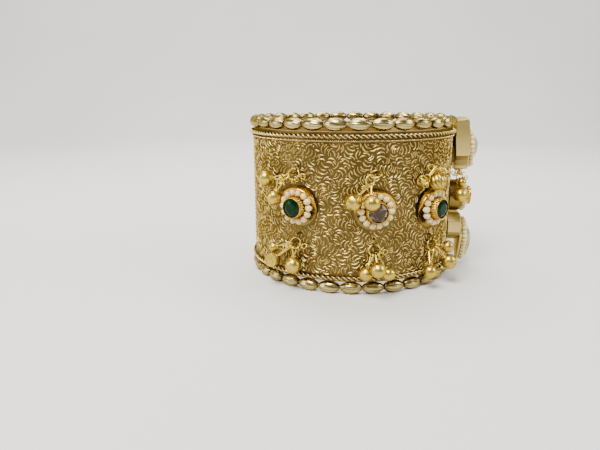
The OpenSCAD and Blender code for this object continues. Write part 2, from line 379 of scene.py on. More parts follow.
def makeReliefMask():
    # 0 at a radius from the cuff's axis, 1 a little further out
    group, given, result = effect("reliefMask", {"Radius": 0.031, "Depth": 0.0001}, ["Mask"])
    flat = put(group, "ShaderNodeVectorMath", operation="MULTIPLY", in_0=objectSpot(group))
    flat.inputs[1].default_value = (1, 1, 0)
    far = put(group, "ShaderNodeVectorMath", operation="LENGTH", in_0=flat.outputs[0]).outputs["Value"]
    rise = calc(group, "SUBTRACT", far, given["Radius"])
    mask = calc(group, "DIVIDE", rise, given["Depth"], True)
    group.links.new(mask, result["Mask"])
    return group


def makeWireCrease():
    # 0 in the crease between the strands of a wire that runs round the cuff, 1 on the strands' crests
    group, given, result = effect("wireCrease", {"Ring": 0.0317, "Height": 0.0196, "Wire": 0.0005}, ["Mask"])
    parts = put(group, "ShaderNodeSeparateXYZ", in_0=objectSpot(group))

    def hypotenuse(a, b):
        squares = calc(group, "ADD", calc(group, "MULTIPLY", a, a), calc(group, "MULTIPLY", b, b))
        return calc(group, "SQRT", squares)

    flat = hypotenuse(parts.outputs[0], parts.outputs[1])
    side = calc(group, "SUBTRACT", flat, given["Ring"])
    rise = calc(group, "SUBTRACT", calc(group, "ABSOLUTE", parts.outputs[2]), given["Height"])
    far = hypotenuse(side, rise)
    mask = spread(group, calc(group, "DIVIDE", far, given["Wire"]), 0.55, 0.95)
    group.links.new(mask, result["Mask"])
    return group


def makeRubbing():
    # long fine rub marks, as a height, stretched round the cuff
    group, given, result = effect("rubbing", {"Size": 900.0}, ["Height"])
    laid = put(group, "ShaderNodeMapping", in_Vector=objectSpot(group), in_Scale=(0.25, 0.25, 3))
    marks = noise(group, given["Size"], 5.0, in_Vector=laid.outputs[0], in_Roughness=0.65)
    group.links.new(marks, result["Height"])
    return group


def makeFolds():
    # 1 in a piece's marked creases, fading beside them
    group, given, result = effect("folds", {"Width": 0.6}, ["Mask"])
    low = calc(group, "SUBTRACT", 1.0, given["Width"])
    above = calc(group, "SUBTRACT", marked(group, "crease"), low)
    mask = calc(group, "DIVIDE", above, given["Width"], True)
    group.links.new(mask, result["Mask"])
    return group


tarnish = makeTarnish()
folds = makeFolds()
reliefMask = makeReliefMask()
wireCrease = makeWireCrease()
rubbing = makeRubbing()


def startMaterial(name, **fixed):
    made = bpy.data.materials.new(name)
    made.use_nodes = True
    shader = made.node_tree.nodes["Principled BSDF"]
    for label, value in fixed.items():
        shader.inputs[label.replace("_", " ")].default_value = value
    return made, made.node_tree, shader


def putGroup(tree, group, **values):
    node = tree.nodes.new("ShaderNodeGroup")
    node.node_tree = group
    for name, value in values.items():
        if isinstance(value, bpy.types.NodeSocket):
            tree.links.new(value, node.inputs[name])
        else:
            node.inputs[name].default_value = value
    return node


def emboss(tree, shader, height, strength, distance):
    bump = put(tree, "ShaderNodeBump", in_Strength=strength, in_Distance=distance * mm, in_Height=height)
    tree.links.new(bump.outputs[0], shader.inputs["Normal"])


def paint(tree, shader, colour):
    tree.links.new(colour, shader.inputs["Base Color"])


def creased(tree, width):
    return putGroup(tree, folds, Width=width).outputs["Mask"]


def rgb(r, g, b):
    return (r, g, b, 1)


metals = {
    # colour of the metal, colour of its tarnish, how much tarnish
    "ground": (rgb(0.15, 0.10, 0.027), rgb(0.065, 0.042, 0.011), 0.8),
    "worn": (rgb(0.60, 0.45, 0.155), rgb(0.37, 0.26, 0.07), 0.65),
    "plate": (rgb(0.22, 0.15, 0.036), rgb(0.10, 0.065, 0.015), 0.7),
    "inside": (rgb(0.58, 0.44, 0.18), rgb(0.40, 0.29, 0.11), 0.45),
    "bead": (rgb(0.54, 0.44, 0.18), rgb(0.29, 0.225, 0.075), 0.6),
    "rope": (rgb(0.74, 0.57, 0.25), rgb(0.42, 0.30, 0.10), 0.45),
    "cup": (rgb(0.62, 0.39, 0.065), rgb(0.40, 0.22, 0.025), 0.5),
    "gold": (rgb(0.60, 0.45, 0.088), rgb(0.29, 0.20, 0.032), 0.65),
    "box": (rgb(0.60, 0.46, 0.155), rgb(0.50, 0.36, 0.11), 0.4),
}

details = {
    # painted shade that the metals show in their creases and between parts, and their colour where worn,
    # which on box edges is also a painted highlight
    "glance": rgb(0.75, 0.58, 0.28),      # reflected at a glancing angle
    "strokeFootShade": rgb(0.07, 0.043, 0.012),
    "strandGapShade": rgb(0.13, 0.085, 0.025),
    "beadFoldShade": rgb(0.15, 0.11, 0.036),
    "bellFoldShade": rgb(0.16, 0.09, 0.012),
    "bellRubbed": rgb(0.82, 0.62, 0.095),
    "boxHollowShade": rgb(0.16, 0.11, 0.035),
    "boxEdgeWearAndHighlight": rgb(0.80, 0.65, 0.30),
    "cupFoldShade": rgb(0.22, 0.10, 0.012),
}


def putAge(tree, kind, smoothest=0.25, roughest=0.45, cloud=300.0, grain=2500.0):
    metal, dark, amount = metals[kind]
    return putGroup(tree, tarnish, Metal=metal, Tarnish=dark, Amount=amount, Cloud=cloud, Grain=grain,
                    Smoothest=smoothest, Roughest=roughest)


def metalMaterial(name, kind, smoothest, roughest, cloud=300.0, grain=2500.0, dent=0.012):
    made, tree, shader = startMaterial(name, Metallic=1.0, Specular_Tint=details["glance"])
    age = putAge(tree, kind, smoothest, roughest, cloud, grain)
    paint(tree, shader, age.outputs["Color"])
    tree.links.new(age.outputs["Roughness"], shader.inputs["Roughness"])
    emboss(tree, shader, age.outputs["Height"], 0.6, dent)
    return made, tree, shader, age


def makeBandBrass():
    # dark chased ground outside, plain rubbed metal inside
    made, tree, shader, age = metalMaterial("band_brass", "ground", 0.34, 0.55, 160.0, 3200.0)
    inside = putAge(tree, "inside", 0.32, 0.38, 90.0, 2600.0)
    outer = putGroup(tree, reliefMask, Radius=30.85 * mm, Depth=0.15 * mm).outputs["Mask"]
    rub = putGroup(tree, rubbing, Size=700.0).outputs["Height"]
    paint(tree, shader, blendColours(tree, outer, inside.outputs["Color"], age.outputs["Color"]))
    rough = blendValues(tree, outer, inside.outputs["Roughness"], age.outputs["Roughness"])
    tree.links.new(rough, shader.inputs["Roughness"])
    emboss(tree, shader, blendValues(tree, outer, rub, age.outputs["Height"]), 0.7, 0.02)
    return made


def makeStrokeBrass():
    # bright worn metal on the raised face of each stroke, painted shade at its foot
    made, tree, shader, age = metalMaterial("stroke_brass", "worn", 0.42, 0.56, 160.0, 3200.0, 0.004)
    crest = putGroup(tree, reliefMask, Radius=cuff["band"] * mm, Depth=0.07 * mm).outputs["Mask"]
    paint(tree, shader, blendColours(tree, crest, details["strokeFootShade"], age.outputs["Color"]))
    return made


def makeRopeBrass(name, ring, height, wire):
    # painted shade between the strands
    made, tree, shader, age = metalMaterial(name, "rope", 0.24, 0.4)
    crest = putGroup(tree, wireCrease, Ring=ring * mm, Height=height * mm, Wire=wire * mm).outputs["Mask"]
    paint(tree, shader, blendColours(tree, crest, details["strandGapShade"], age.outputs["Color"]))
    return made


def makeBeadBrass():
    # painted shade in the folds and towards the ends, worn bright between them
    made, tree, shader, age = metalMaterial("bead_brass", "bead", 0.18, 0.32, 260.0, 1800.0, 0.004)
    crest = putGroup(tree, wireCrease, Ring=cuff["rim"] * mm, Height=cuff["rimHeight"] * mm,
                     Wire=1.6 * mm).outputs["Mask"]
    colour = blendColours(tree, crest, details["beadFoldShade"], age.outputs["Color"])
    paint(tree, shader, blendColours(tree, creased(tree, 0.75), colour, details["beadFoldShade"]))
    return made


def makeBellGold():
    # yellow gold, brighter where worn, painted shade in the folds between ribs
    made, tree, shader, age = metalMaterial("bell_gold", "gold", 0.26, 0.38, 350.0, 1500.0, 0.005)
    rubbedAndHighlit = calc(tree, "MULTIPLY", marked(tree, "rubbedAndHighlit"), 0.7)
    colour = blendColours(tree, rubbedAndHighlit, age.outputs["Color"], details["bellRubbed"])
    paint(tree, shader, blendColours(tree, creased(tree, 0.8), colour, details["bellFoldShade"]))
    return made


def makeBoxGold():
    # pale gold with painted shade in the hollow of its sides, brighter along its edges as wear and as a
    # painted highlight
    made, tree, shader, age = metalMaterial("box_gold", "box", 0.3, 0.38, 60.0, 300.0, 0.002)
    hollow = calc(tree, "MULTIPLY", creased(tree, 1.0), 0.8)
    rubbedAndHighlit = calc(tree, "MULTIPLY", marked(tree, "rubbedAndHighlit"), 0.6)
    colour = blendColours(tree, hollow, age.outputs["Color"], details["boxHollowShade"])
    paint(tree, shader, blendColours(tree, rubbedAndHighlit, colour, details["boxEdgeWearAndHighlight"]))
    return made


def makeSettingGold():
    # olive brown on the backing plate, yellow gold on the cup above it, painted shade between its ribs
    made, tree, shader, age = metalMaterial("cup_gold", "cup", 0.2, 0.34, 500.0, 2500.0, 0.005)
    plate = putAge(tree, "plate", cloud=260.0)
    raised = putGroup(tree, reliefMask, Radius=31.85 * mm, Depth=0.4 * mm).outputs["Mask"]
    colour = blendColours(tree, raised, plate.outputs["Color"], age.outputs["Color"])
    paint(tree, shader, blendColours(tree, creased(tree, 0.8), colour, details["cupFoldShade"]))
    return made


def makePearlSkin():
    # cream body with faint pink clouds under a soft lustre
    made, tree, shader = startMaterial("pearl", Coat_Weight=0.6, Coat_Roughness=0.12,
                                       Subsurface_Weight=0.25, Subsurface_Scale=0.4 * mm)
    fine = noise(tree, 2200.0)
    tint = spread(tree, noise(tree, 420.0, 3.0), 0.35, 0.65)
    paint(tree, shader, blendColours(tree, tint, rgb(0.76, 0.65, 0.30), rgb(0.66, 0.50, 0.24)))
    tree.links.new(spread(tree, fine, 0.3, 0.7, 0.22, 0.42), shader.inputs["Roughness"])
    emboss(tree, shader, fine, 0.3, 0.02)
    return made


def makeGem(name, colour, deep, dull, clear, shine, cloud=380.0, low=0.35, high=0.68):
    # a cut stone with a deeper, duller tint in clouds inside it, see-through in part
    made, tree, shader = startMaterial(name, IOR=1.5, Transmission_Weight=clear, Specular_IOR_Level=shine)
    mask = spread(tree, noise(tree, cloud, in_Distortion=1.2), low, high)
    paint(tree, shader, blendColours(tree, mask, colour, deep))
    tree.links.new(spread(tree, mask, 0.0, 1.0, 0.03, dull), shader.inputs["Roughness"])
    return made


def makeFloorPaint():
    made, tree, shader = startMaterial("pale_floor", Roughness=0.75)
    tint = spread(tree, noise(tree, 6.0), 0.3, 0.7)
    paint(tree, shader, blendColours(tree, tint, rgb(0.60, 0.59, 0.57), rgb(0.64, 0.63, 0.61)))
    return made


bandBrass = makeBandBrass()
strokeBrass = makeStrokeBrass()
beadBrass = makeBeadBrass()
wireBrass = metalMaterial("wire_brass", "rope", 0.22, 0.36)[0]
bellGold = makeBellGold()
cupGold = makeSettingGold()
boxGold = makeBoxGold()
darkBrass = metalMaterial("dark_brass", "plate", 0.28, 0.42)[0]
pearlSkin = makePearlSkin()
greenGlass = makeGem("green_stone", rgb(0.0015, 0.022, 0.005), rgb(0.0008, 0.010, 0.0025), 0.1, 0.0, 0.1)
clearGlass = makeGem("clear_stone", rgb(0.52, 0.39, 0.29), rgb(0.05, 0.027, 0.012), 0.05, 0.1, 0.3,
                     430.0, 0.33, 0.42)
paleGlass = makeGem("pale_stone", rgb(0.60, 0.66, 0.42), rgb(0.38, 0.44, 0.24), 0.14, 0.4, 0.5)
limeGlass = makeGem("lime_stone", rgb(0.62, 0.62, 0.20), rgb(0.34, 0.34, 0.06), 0.12, 0.5, 0.5)
print("materials made")


# Floor, lights and camera

camera = {
    "place": (0, -165.1, 29.6),   # mm from the middle of the cuff
    "down": 14.21,                # degrees
    "left": 5.79,
    "roll": -0.27,
    "lens": 30.28,
    "nearest": 5,                 # mm
}

studio = {
    "sky": (0.82, 0.81, 0.79),
    "skyPower": 0.22,
}

lights = [
    # name, place in mm, where it points, width in mm, power, colour
    ("over", (-110, -250, 420), (0, 0, 0), 240, 5.4, (1.0, 0.98, 0.95)),
    ("left", (-420, -180, 160), (0, 0, 0), 240, 1.2, (1.0, 0.97, 0.93)),
    ("right", (380, -60, 220), (0, 0, 0), 200, 1.3, (1.0, 0.98, 0.96)),
    ("backdrop", (-60, 260, 520), (-80, 620, 60), 500, 9, (1.0, 1.0, 1.0)),
]

sweep = {
    "floor": 500,         # mm from the cuff, where the pale floor begins to rise all round
    "radius": 450,
    "high": 1300,
}


def makeCamera():
    bpy.ops.object.camera_add()
    eye = bpy.context.object
    aim = turn(camera["left"], "Z") @ turn(90 - camera["down"], "X") @ turn(camera["roll"], "Z")
    eye.matrix_world = move(*camera["place"]) @ aim
    eye.data.lens = camera["lens"]
    eye.data.clip_start = camera["nearest"] * mm
    bpy.context.scene.camera = eye


def makeLights():
    for name, spot, target, width, power, colour in lights:
        bpy.ops.object.light_add(type="AREA", location=Vector(spot) * mm)
        lamp = bpy.context.object
        lamp.name = name
        lamp.rotation_euler = (Vector(target) - Vector(spot)).to_track_quat("-Z", "Y").to_euler()
        lamp.data.size = width * mm
        lamp.data.energy = power
        lamp.data.color = colour
    world = bpy.data.worlds.new("studio")
    world.use_nodes = True
    sky = world.node_tree.nodes["Background"]
    sky.inputs["Color"].default_value = rgb(*studio["sky"])
    sky.inputs["Strength"].default_value = studio["skyPower"]
    bpy.context.scene.world = world


def makeFloor():
    # flat under the cuff, curving up to a wall all round
    low = cadBox[0][2] / mm
    line = [(0, low), (sweep["floor"], low)]
    for a in range(10, 91, 10):
        s, c = math.sin(math.radians(a)), math.cos(math.radians(a))
        line.append((sweep["floor"] + sweep["radius"] * s, low + sweep["radius"] * (1 - c)))
    floor = lathe(line + [(sweep["floor"] + sweep["radius"], low + sweep["high"])], 72)
    smooth(floor, 30)
    floor.name = "pale_floor"
    floor.data.materials.append(makeFloorPaint())


makeCamera()
makeLights()
makeFloor()
print("floor, lights and camera made")


# Chased strokes on the band

strokes = {
    "shapes": [
        # length along the curve in mm, curve in degrees, how many places are tried
        (3.0, 120, 3000),
        (2.2, 95, 60000),
        (1.6, 72, 60000),
        (1.05, 48, 60000),
        (0.72, 28, 30000),
    ],
    "width": 0.5,
    "rise": 0.18,
    "sunk": 0.05,         # how far the foot goes into the sheet
    "lowest": -19,
    "highest": 18.05,
    "tip": 0.12,          # width left at the two tips, as a share
    "face": 0.45,         # length of one face along a stroke
    "spine": 0.86,        # share of its length that keeps clear of its neighbours
    "tried": (-19, 18),   # heights between which places are tried
    "apart": 0.55,        # between nested strokes
    "room": 0.41,         # least distance between the middle lines of neighbours
    "beside": (1, -1, 2, -2, 3),     # nested places beside a stroke, in the order they are tried
    "nest": 0.85,         # how often one of them gets a stroke
    "lean": 0.2,          # most that a nested stroke is turned, in radians
    "vary": ((0.95, 1.05), (0.9, 1.08), (0.85, 1.1)),    # length, width and height
    "plate": 6,           # bare circle under each flower
    "seam": 0.75,         # bare strip each side of an upright wire
}

flowers = [
    # angle, height, lift above the band
    (-117, 0.2, 0),
    (-77.6, -0.1, 0),
    (-43, -0.9, 0),
    (0, -1.2, 3),
    (43, -0.9, 0),
    (77.6, -0.1, 0),
    (117, 0.2, 0),
]


def onStroke(shape, share):
    # a place on the middle line of a stroke, which starts at its crown; share runs from -1 to 1
    length, curve = strokes["shapes"][shape][:2]
    bend = math.radians(curve)
    a = share * bend / 2
    return length / bend * math.sin(a), length / bend * (math.cos(a) - 1)


def makeOneStroke(shape):
    # a ridge that tapers to both ends, bent like a new moon; its back is a little under the sheet
    length, curve = strokes["shapes"][shape][:2]
    parts = max(3, round(length / strokes["face"]))
    letGo()
    bpy.ops.mesh.primitive_grid_add(x_subdivisions=parts, y_subdivisions=2, size=1)
    stroke = bpy.context.object
    stroke.scale = (length * mm, strokes["width"] * mm, mm)
    stroke.location.z = -strokes["sunk"] * mm
    settle(stroke)
    half = length / 2 * mm
    for ring in range((parts + 1) // 2 + 1):
        share = 1 - 2 * ring / parts
        wide = max(strokes["tip"], (1 - abs(share) ** 3) ** 0.5)
        pick(stroke, "VERT", lambda v: abs(abs(v.co.x) - abs(share) * half) < near)
        bpy.ops.transform.resize(value=(1, wide, 1))
        done()
    pick(stroke, "VERT", lambda v: abs(v.co.y) < near and abs(v.co.x) < 0.95 * half)
    bpy.ops.transform.translate(value=(0, 0, (strokes["rise"] + strokes["sunk"]) * mm))
    bpy.ops.mesh.select_all(action="DESELECT")
    bpy.ops.mesh.select_non_manifold()
    bpy.ops.mesh.edge_face_add()
    done()
    deform(stroke, "BEND", "Z", math.radians(curve))
    if sum(v.co.y for v in stroke.data.vertices) > 0:
        stroke.rotation_euler.z = math.pi
        settle(stroke)
    return smooth(mend(stroke), 70)


def layOutStrokes():
    # shape, place round the cuff, height and turn of each stroke in mm, from places tried in order
    chance = random.Random(11)
    around = full * cuff["band"]
    room = strokes["room"]
    taken = {}
    kept = []

    def spine(shape, x, z, a):
        # spots along the middle line of a stroke, short of its tips
        count = max(3, round(strokes["shapes"][shape][0] / room))
        c, s = math.cos(a), math.sin(a)
        line = []
        for k in range(count):
            u, v = onStroke(shape, strokes["spine"] * (2 * k / (count - 1) - 1))
            line.append((x + u * c - v * s, z + u * s + v * c))
        return line

    def free(x, z):
        if not strokes["lowest"] < z < strokes["highest"]:
            return False
        if min(x, around - x) <= strokes["seam"] or abs(x - around / 2) < strokes["seam"]:
            return False
        for angle, height, _ in flowers:
            dx = (x - math.radians(angle) * cuff["band"] + around / 2) % around - around / 2
            if math.hypot(dx, z - height) < strokes["plate"]:
                return False
        i, j = int(x // room), int(z // room)
        for cell in ((i + di, j + dj) for di in (-1, 0, 1) for dj in (-1, 0, 1)):
            for px, pz in taken.get(cell, ()):
                if (px - x) ** 2 + (pz - z) ** 2 < room * room:
                    return False
        return True

    def tryOne(shape, x, z, a):
        line = spine(shape, x, z, a)
        if not all(free(*spot) for spot in line):
            return False
        kept.append((shape, x, z, a))
        for spot in line:
            taken.setdefault((int(spot[0] // room), int(spot[1] // room)), []).append(spot)
        return True

    for shape, (_, _, tries) in enumerate(strokes["shapes"]):
        for _ in range(tries):
            x, z, a = chance.uniform(0, around), chance.uniform(*strokes["tried"]), chance.uniform(0, full)
            if not tryOne(shape, x, z, a):
                continue
            for step in strokes["beside"]:
                lean = a + chance.uniform(-strokes["lean"], strokes["lean"])
                far = step * strokes["apart"]
                if chance.random() < strokes["nest"]:
                    tryOne(shape, x - far * math.sin(a), z + far * math.cos(a), lean)
    return kept


def makeStrokeField(stroke, places):
    # the places become points with a turn and a size, and the stroke is set on each of them
    chance = random.Random(5)
    field = bpy.data.meshes.new("chased_strokes")
    field.from_pydata([(0, 0, 0)] * len(places), [], [])
    turns = field.attributes.new("turned", "FLOAT_VECTOR", "POINT")
    sizes = field.attributes.new("sized", "FLOAT_VECTOR", "POINT")
    for k, (_, x, z, a) in enumerate(places):
        around = math.degrees(x / cuff["band"])
        place = onCuff(around, cuff["band"], z) @ turn(90 + math.degrees(a), "Z")
        field.vertices[k].co = place.translation
        turns.data[k].vector = place.to_euler()
        sizes.data[k].vector = [chance.uniform(*limits) for limits in strokes["vary"]]
    piece = bpy.data.objects.new("chased_strokes", field)
    bpy.context.collection.objects.link(piece)
    setter = bpy.data.node_groups.new("setStrokes", "GeometryNodeTree")
    for way in ("INPUT", "OUTPUT"):
        setter.interface.new_socket(name="Geometry", in_out=way, socket_type="NodeSocketGeometry")
    given = setter.nodes.new("NodeGroupInput")
    result = setter.nodes.new("NodeGroupOutput")
    one = put(setter, "GeometryNodeObjectInfo", in_Object=stroke)
    turned, sized = [put(setter, "GeometryNodeInputNamedAttribute", data_type="FLOAT_VECTOR",
                         in_Name=name).outputs[0] for name in ("turned", "sized")]
    setOn = put(setter, "GeometryNodeInstanceOnPoints", in_Points=given.outputs[0],
                in_Instance=one.outputs["Geometry"], in_Rotation=turned, in_Scale=sized)
    real = put(setter, "GeometryNodeRealizeInstances", in_Geometry=setOn.outputs[0])
    setter.links.new(real.outputs[0], result.inputs[0])
    piece.modifiers.new("setStrokes", "NODES").node_group = setter
    return settle(piece)


def chaseBand():
    places = layOutStrokes()
    fields = []
    for shape in range(len(strokes["shapes"])):
        one = makeOneStroke(shape)
        fields.append(makeStrokeField(one, [place for place in places if place[0] == shape]))
        throwAway(one)
    field = gather("chased_strokes", fields)
    finish(field, strokeBrass, "band_brass")
    print("band chased with", len(places), "strokes,", len(field.data.polygons), "faces")


chaseBand()


# Twisted wires

ropes = {
    "edge": 0.5,          # radius of the edge wires
    "strand": 0.285,      # radius of one of their strands
    "twists": 66,         # whole turns round the cuff
    "fineStrand": 0.13,
    "fineRing": 31.45,
    "fineHeight": 18.35,
    "fineTwists": 200,
    "seamStrand": 0.225,
    "seamRing": 31.65,
    "seamLow": -18.95,
    "seamHigh": 17.95,
    "seamTwists": 14,
    "steps": 10,          # rings of faces in one twist
}


def twistStrands(strand, length, twists, sides):
    # two strands twisted together along Z, from z = 0 up
    letGo()
    bpy.ops.mesh.primitive_circle_add(vertices=sides, radius=strand * mm,
                                      location=(strand * mm, 0, 0), rotation=(math.pi / 2, 0, 0))
    first = settle(bpy.context.object)
    second = copyAt(first, turn(180, "Z"))
    rope = gather("rope", [first, second])
    screw = rope.modifiers.new("twist", "SCREW")
    screw.axis = "Z"
    screw.angle = full
    screw.screw_offset = length / twists * mm
    screw.iterations = twists
    screw.steps = screw.render_steps = ropes["steps"]
    screw.use_merge_vertices = False
    return settle(rope)


def closeRound(rope, radius):
    # bends the straight wire into a ring round the cuff and joins its two ends
    length = full * radius
    edit(rope)
    bpy.ops.transform.translate(value=(0, 0, -length / 2 * mm))
    done()
    rope.rotation_euler = (0, math.pi / 2, 0)
    settle(rope)
    deform(rope, "BEND", "Z", full)
    middle = sum(v.co.y for v in rope.data.vertices) / len(rope.data.vertices)
    edit(rope)
    bpy.ops.transform.translate(value=(0, -math.copysign(radius * mm, middle), 0))
    done()
    return mend(rope)


def makeEdgeWire(name, node, height, radius, strand, twists, sides, material):
    rope = closeRound(twistStrands(strand, full * radius, twists, sides), radius)
    rope.location.z = height * mm
    gather(name, [rope])
    smooth(rope, 80)
    finish(rope, material, "edge_wire", node)


def makeSeamWire(name, node, angle):
    length = ropes["seamHigh"] - ropes["seamLow"]
    rope = twistStrands(ropes["seamStrand"], length, ropes["seamTwists"], 8)
    edit(rope)
    bpy.ops.mesh.select_all(action="DESELECT")
    bpy.ops.mesh.select_non_manifold()
    bpy.ops.mesh.fill_holes(sides=0)
    done()
    rope.matrix_world = turn(angle, "Z") @ move(ropes["seamRing"], 0, ropes["seamLow"])
    gather(name, [rope])
    mend(rope)
    smooth(rope, 80)
    finish(rope, wireBrass, "edge_wire", node)


edgeBrass = makeRopeBrass("edge_wire", cuff["rope"], cuff["ropeHeight"], ropes["edge"])
for rowName, side in (("top", 1), ("bottom", -1)):
    makeEdgeWire(rowName + "_twisted_wire", rowName + "_rope", side * cuff["ropeHeight"], cuff["rope"],
                 ropes["strand"], ropes["twists"], 8, edgeBrass)
makeEdgeWire("top_fine_twist", "top_fine_wire", ropes["fineHeight"], ropes["fineRing"],
             ropes["fineStrand"], ropes["fineTwists"], 6, wireBrass)
makeSeamWire("front_seam_twist", "front_seam_rope", 0)
makeSeamWire("back_seam_twist", "back_seam_rope", 180)
print("twisted wires made")


# Rim beads

rimBead = {
    "half": 2.95,         # half of its length
    "radius": 1.75,
    "end": 0.75,
    "hole": 0.5,
    "rings": 5,           # rings of faces from its middle to an end
    "lobes": 8,
    "across": 5,          # strips of faces in one lobe
    "groove": 0.915,      # share of the radius left in a groove
    "twist": 20,          # degrees from end to end
    "vary": (0.99, 1.03),
    "count": 31,
    "turns": {"top": 6.6, "bottom": 4.3},     # degrees that a row is turned
    "gaps": {"top": 15, "bottom": 0},         # degrees each side of the front that have no bead
    "jointRadius": 0.47,  # rings of soft wire between the beads
    "jointWire": 0.13,
}


def makeRimBead():
    # turned from one arc, with lengthwise grooves that lean a little
    half = rimBead["half"]
    sag = rimBead["radius"] - rimBead["end"]
    arc = (half * half + sag * sag) / (2 * sag)
    count = rimBead["rings"]
    heights = [half * math.sin(math.pi / 2 * k / count) for k in range(-count, count + 1)]
    profile = [(rimBead["radius"] - arc + math.sqrt(arc * arc - z * z), z) for z in heights]
    profile = [(rimBead["hole"], -half)] + profile + [(rimBead["hole"], half)]
    bead = lathe(profile, rimBead["lobes"] * rimBead["across"])

    def inGroove(vertex):
        return offRib(vertex, rimBead["lobes"]) < 0.02 and abs(vertex.co.z) < 0.93 * half * mm

    mark(bead, "crease", inGroove)
    squeeze(bead, inGroove, rimBead["groove"])
    deform(bead, "TWIST", "Z", math.radians(rimBead["twist"]))
    return smooth(bead, 50)


def rowPlaces(row, shift=0):
    # angle and place of each bead of a row; half a step on, of each joint between two beads
    side = 1 if row == "top" else -1
    step = 360 / rimBead["count"]
    for k in range(rimBead["count"]):
        around = (rimBead["turns"][row] + (k + shift) * step + 180) % 360 - 180
        yield around, turn(around, "Z") @ move(cuff["rim"], 0, side * cuff["rimHeight"]) @ turn(90, "X")


def makeBeadRow(bead, row, seed):
    # every bead has its own spin about the core wire and is a little fatter or thinner
    chance = random.Random(seed)
    twins = []
    for around, place in rowPlaces(row):
        spin = turn(chance.uniform(0, 360), "Z")
        plump = Matrix.Diagonal((chance.uniform(*rimBead["vary"]),) * 2 + (1, 1))
        if abs(around) >= rimBead["gaps"][row]:
            twins.append(copyAt(bead, place @ spin @ plump))
    finish(gather(row + "_melon_beads", twins), beadBrass, "rim_bead", row + "_beads")


def makeJointRings(row):
    # the row of rings reaches 2 degrees past the last bead
    ring = smooth(torus(rimBead["jointRadius"], rimBead["jointWire"], 14, 6), 80)
    gap = rimBead["gaps"][row] - 2
    twins = [copyAt(ring, place) for around, place in rowPlaces(row, 0.5) if abs(around) >= gap]
    throwAway(ring)
    finish(gather(row + "_joint_rings", twins), bellGold, "core_wire")


rimBeadShape = makeRimBead()
for rowName, seed in (("top", 32), ("bottom", 30)):
    makeBeadRow(rimBeadShape, rowName, seed)
throwAway(rimBeadShape)
for rowName in ("top", "bottom"):
    makeJointRings(rowName)
print("rim beads made")


# Pearl flowers

flower = {
    "plateRadius": 5.8,
    "plateThick": 0.5,
    "plateRings": (0.35, 0.9, 1.2, 1.2, 1),   # rings of faces, from its edge in
    "plateSoft": 0.12,
    "plateBend": 0.4,     # radius it is bent to, above the band's
    "ribs": 24,
    "cupOut": 3.05,       # outer radius over the ribs
    "cupIn": 2.7,
    "cupLow": 0.4,        # heights above the band
    "cupHigh": 4.15,
    "cupFoot": [(0.93, 0), (0.985, 0.25)],    # share of the outer radius, height over the foot
    "cupRim": [(0.985, 0.75), (0.93, 0.5), (0.96, 0.32), (0.955, 0.08), (0.93, 0)],   # depth under the top
    "seat": 2.4,
    "ringRadius": 4.1,    # radius of the ring of pearls
    "ringHeight": 1.7,
    "pearls": 14,
    "stoneRadius": 2.6,
    "girdle": 3.75,
    "crown": 0.7,
    "pavilion": 1.1,
    "table": 0.58,        # share of the radius
    "edge": 0.07,         # half the thickness of its girdle
    "star": 0.62,         # leans of the other facets, as shares of the bezel's or the pavilion's
    "upper": 1.3,
    "main": 0.98,
    "lower": 1.15,
    "crest": 1.02,        # the cup's ribs and grooves, as shares of its radius
    "groove": 0.945,
    "drumRadius": 5,      # round box under the raised flower
    "drumLow": 0.2,       # heights above the band
    "drumHigh": 3.65,
    "drumEdge": [(0, 0.25), (0.07, 0.08), (0.25, 0)],     # in from its side, down from its top
    "clear": (1, 5),      # flowers with a clear stone
    "vary": (0.94, 1.03),
}


def ribbedCup():
    # a tube with rounded upright ribs, a rolled rim and a floor under the stone
    low, high, out = flower["cupLow"], flower["cupHigh"], flower["cupOut"]
    inner, seat = flower["cupIn"], flower["seat"]
    foot = [(out * share, low + up) for share, up in flower["cupFoot"]]
    rim = [(out * share, high - down) for share, down in flower["cupRim"]]
    inside = [(inner + 0.02, high), (inner, high - 0.3), (inner, seat), (0, seat)]
    cup = lathe([(0, low)] + foot + rim + inside, flower["ribs"] * 4)

    def onWall(vertex):
        tall = (low + 0.2) * mm < vertex.co.z < (high - 0.7) * mm
        return tall and math.hypot(vertex.co.x, vertex.co.y) > (inner + 0.1) * mm

    def inGroove(vertex):
        return offRib(vertex, flower["ribs"]) < 0.05 and onWall(vertex)

    squeeze(cup, lambda vertex: offRib(vertex, flower["ribs"]) > 0.2 and onWall(vertex), flower["crest"])
    mark(cup, "crease", inGroove)
    squeeze(cup, inGroove, flower["groove"])
    return smooth(cup, 45)


def bentPlate():
    # round backing plate with a rolled edge, bent to the band; local Y goes round the cuff
    r = flower["plateRadius"]
    letGo()
    bpy.ops.mesh.primitive_circle_add(vertices=72, radius=r * mm, fill_type="NGON")
    plate = bpy.context.object
    edit(plate, "FACE")
    for width in flower["plateRings"]:
        inset(width)
    bpy.ops.mesh.select_all(action="SELECT")
    pull(0, 0, flower["plateThick"])
    done()
    softenEdges(mend(plate), flower["plateSoft"])
    plate.rotation_euler = (0, 0, math.pi / 2)
    settle(plate)
    return deform(plate, "BEND", "Y", 2 * r / (cuff["band"] + flower["plateBend"]))


